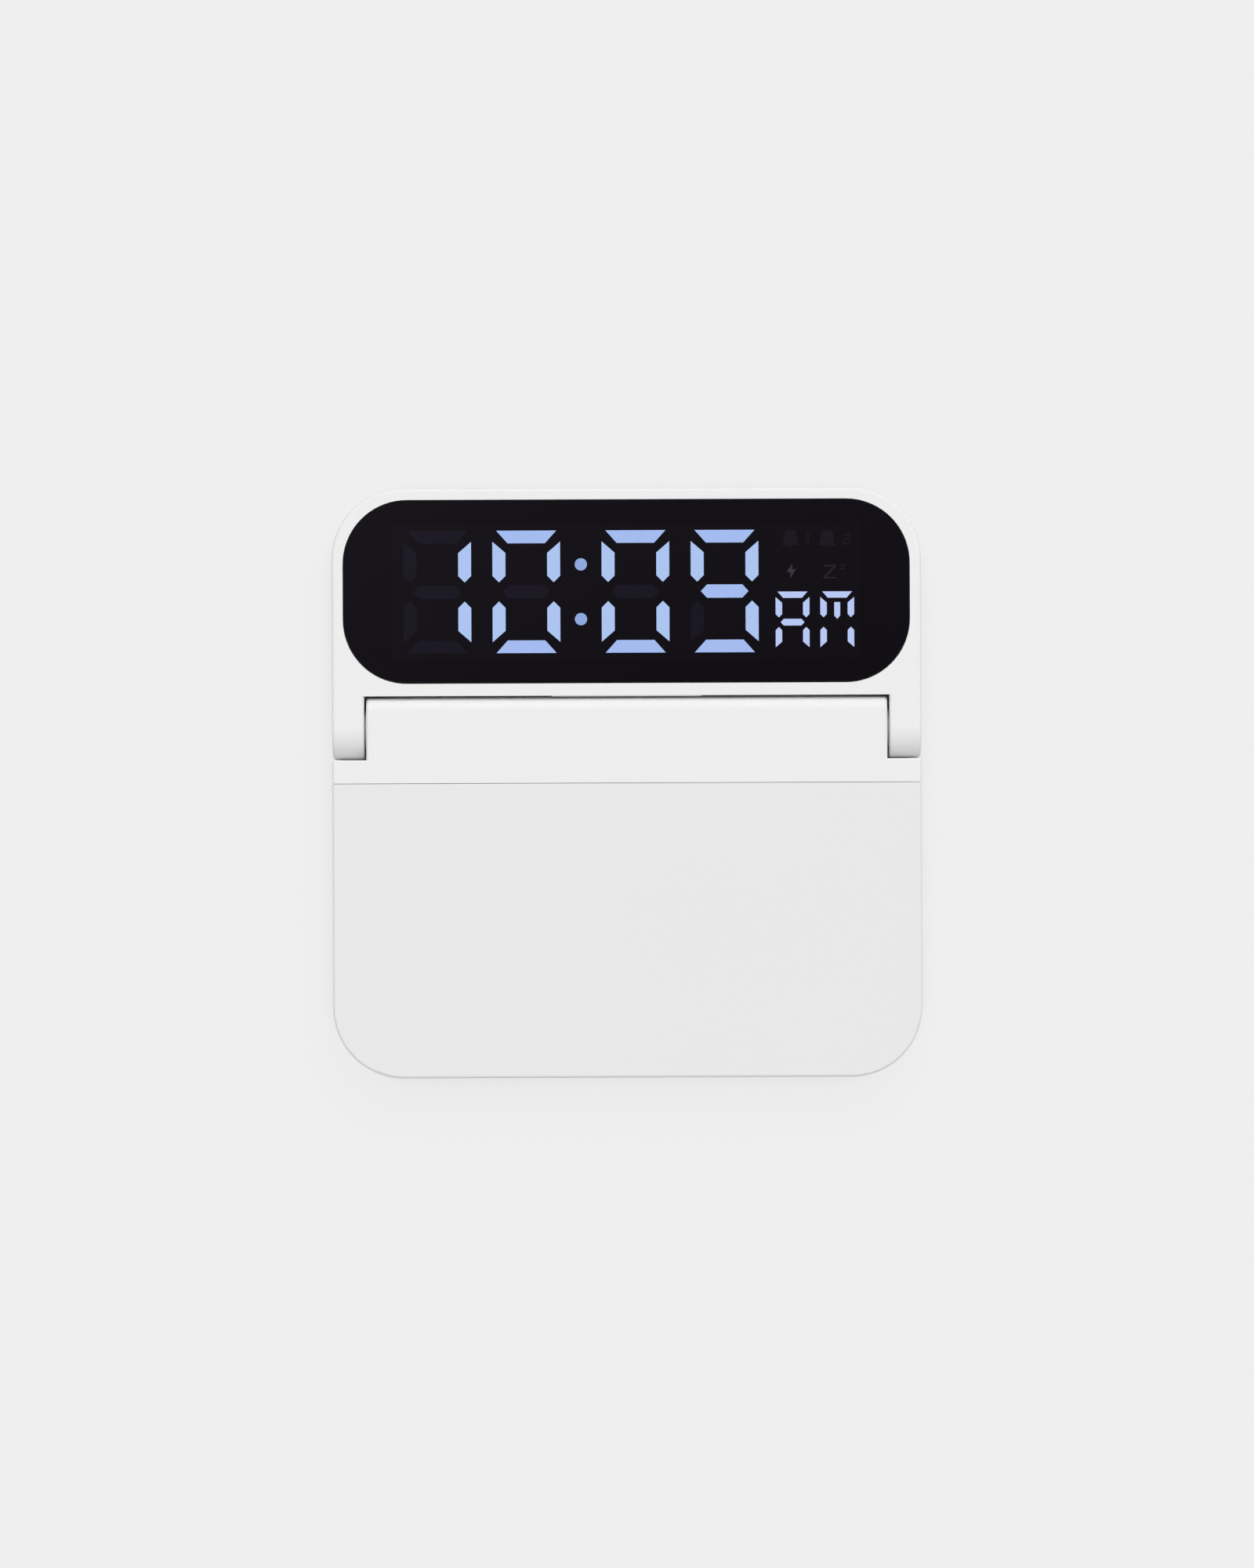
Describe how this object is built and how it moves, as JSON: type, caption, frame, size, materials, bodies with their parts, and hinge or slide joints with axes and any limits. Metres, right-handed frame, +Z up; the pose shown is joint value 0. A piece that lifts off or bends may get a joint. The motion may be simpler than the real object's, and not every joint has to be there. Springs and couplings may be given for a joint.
{
  "type": "folding alarm clock with wireless charging pad",
  "caption": "Folding desk alarm clock: a square white case whose digital display half hinges up from a flat wireless charging pad.",
  "frame": {"origin": "centre of the square outline of the clock lying open and flat, on the surface its feet stand on", "axes": "+X to the reader's right, +Y from the charging pad towards the display's top edge, +Z up"},
  "size_m": [0.1, 0.1, 0.011],
  "materials": {
    "white_case": "fine moulded texture",
    "white_key": "satin moulded",
    "grey_foot": "matt",
    "screw_steel": "zinc plated",
    "spring_steel": "rolled",
    "pin_steel": "ground",
    "cell_steel": "polished",
    "inlet_steel": "nickel plated",
    "copper_coil": "enamelled copper wire",
    "dark_ferrite": "sintered",
    "green_board": "solder mask",
    "black_component": "moulded",
    "wire_cover": "extruded",
    "natural_nylon": "moulded",
    "smoked_lens": "polished",
    "black_tape": "printed film",
    "lcd_glass": "polished",
    "white_film": "satin film",
    "clear_acrylic": "polished",
    "contact_rubber": "layered",
    "white_frame": "moulded",
    "led_white": "cast resin"
  },
  "bodies": {
    "base": {"base_tray": "white_case", "pad_cover": "white_case", "hinge_cover": "white_case", "front_foot": "grey_foot", "rear_foot": "grey_foot", "base_screws": "screw_steel", "charging_coil": "copper_coil", "ferrite_plate": "dark_ferrite", "coil_leads": "wire_cover", "charger_board": "green_board", "charger_board_parts": "black_component", "board_screws": "screw_steel", "usb_shell": "inlet_steel", "usb_tongue": "black_component", "buzzer": "black_component", "buzzer_leads": "wire_cover", "cell_holder": "black_component", "coin_cell": "cell_steel", "cell_clip": "spring_steel", "cell_leads": "wire_cover", "hinge_leaf_right": "spring_steel", "hinge_leaf_left": "spring_steel", "leaf_screws": "screw_steel", "base_harness": "wire_cover"},
    "display": {"display_housing": "white_case", "display_back_cover": "white_case", "display_feet": "grey_foot", "display_screws": "screw_steel", "display_lens": "smoked_lens", "lens_mask": "black_tape", "lcd_panel": "lcd_glass", "diffuser_sheet": "white_film", "light_guide": "clear_acrylic", "reflector_sheet": "white_film", "zebra_strip": "contact_rubber", "backlight_frame": "white_frame", "backlight_leds": "led_white", "display_board": "green_board", "display_board_parts": "black_component", "key_switches": "black_component", "snooze_switch": "black_component", "hinge_pin_right": "pin_steel", "hinge_pin_left": "pin_steel", "hinge_washers": "natural_nylon", "display_harness": "wire_cover"},
    "set_key": {"set_button": "white_key"},
    "alarm_1_key": {"alarm_1_button": "white_key"},
    "alarm_2_key": {"alarm_2_button": "white_key"},
    "minus_key": {"minus_button": "white_key"},
    "plus_key": {"plus_button": "white_key"},
    "snooze_bar": {"snooze_button": "white_key"}
  },
  "joints": [
    {"name": "display_fold", "type": "hinge", "parent": "base", "child": "display", "pos_m": [0, 0.0093, 0.0058], "axis": [1, 0, 0], "range_deg": [0, 90]},
    {"name": "set_press", "type": "slide", "parent": "display", "child": "set_key", "axis": [0, 0, 1], "range_m": [0, 0.00035], "stiffness_N_per_m": 3000, "springref_m": -0.00004},
    {"name": "alarm_1_press", "type": "slide", "parent": "display", "child": "alarm_1_key", "axis": [0, 0, 1], "range_m": [0, 0.00035], "stiffness_N_per_m": 3000, "springref_m": -0.00004},
    {"name": "alarm_2_press", "type": "slide", "parent": "display", "child": "alarm_2_key", "axis": [0, 0, 1], "range_m": [0, 0.00035], "stiffness_N_per_m": 3000, "springref_m": -0.00004},
    {"name": "minus_press", "type": "slide", "parent": "display", "child": "minus_key", "axis": [0, 0, 1], "range_m": [0, 0.00035], "stiffness_N_per_m": 3000, "springref_m": -0.00004},
    {"name": "plus_press", "type": "slide", "parent": "display", "child": "plus_key", "axis": [0, 0, 1], "range_m": [0, 0.00035], "stiffness_N_per_m": 3000, "springref_m": -0.00004},
    {"name": "snooze_press", "type": "slide", "parent": "display", "child": "snooze_bar", "axis": [0, -1, 0], "range_m": [0, 0.00035], "stiffness_N_per_m": 3000, "springref_m": -0.00004}
  ]
}
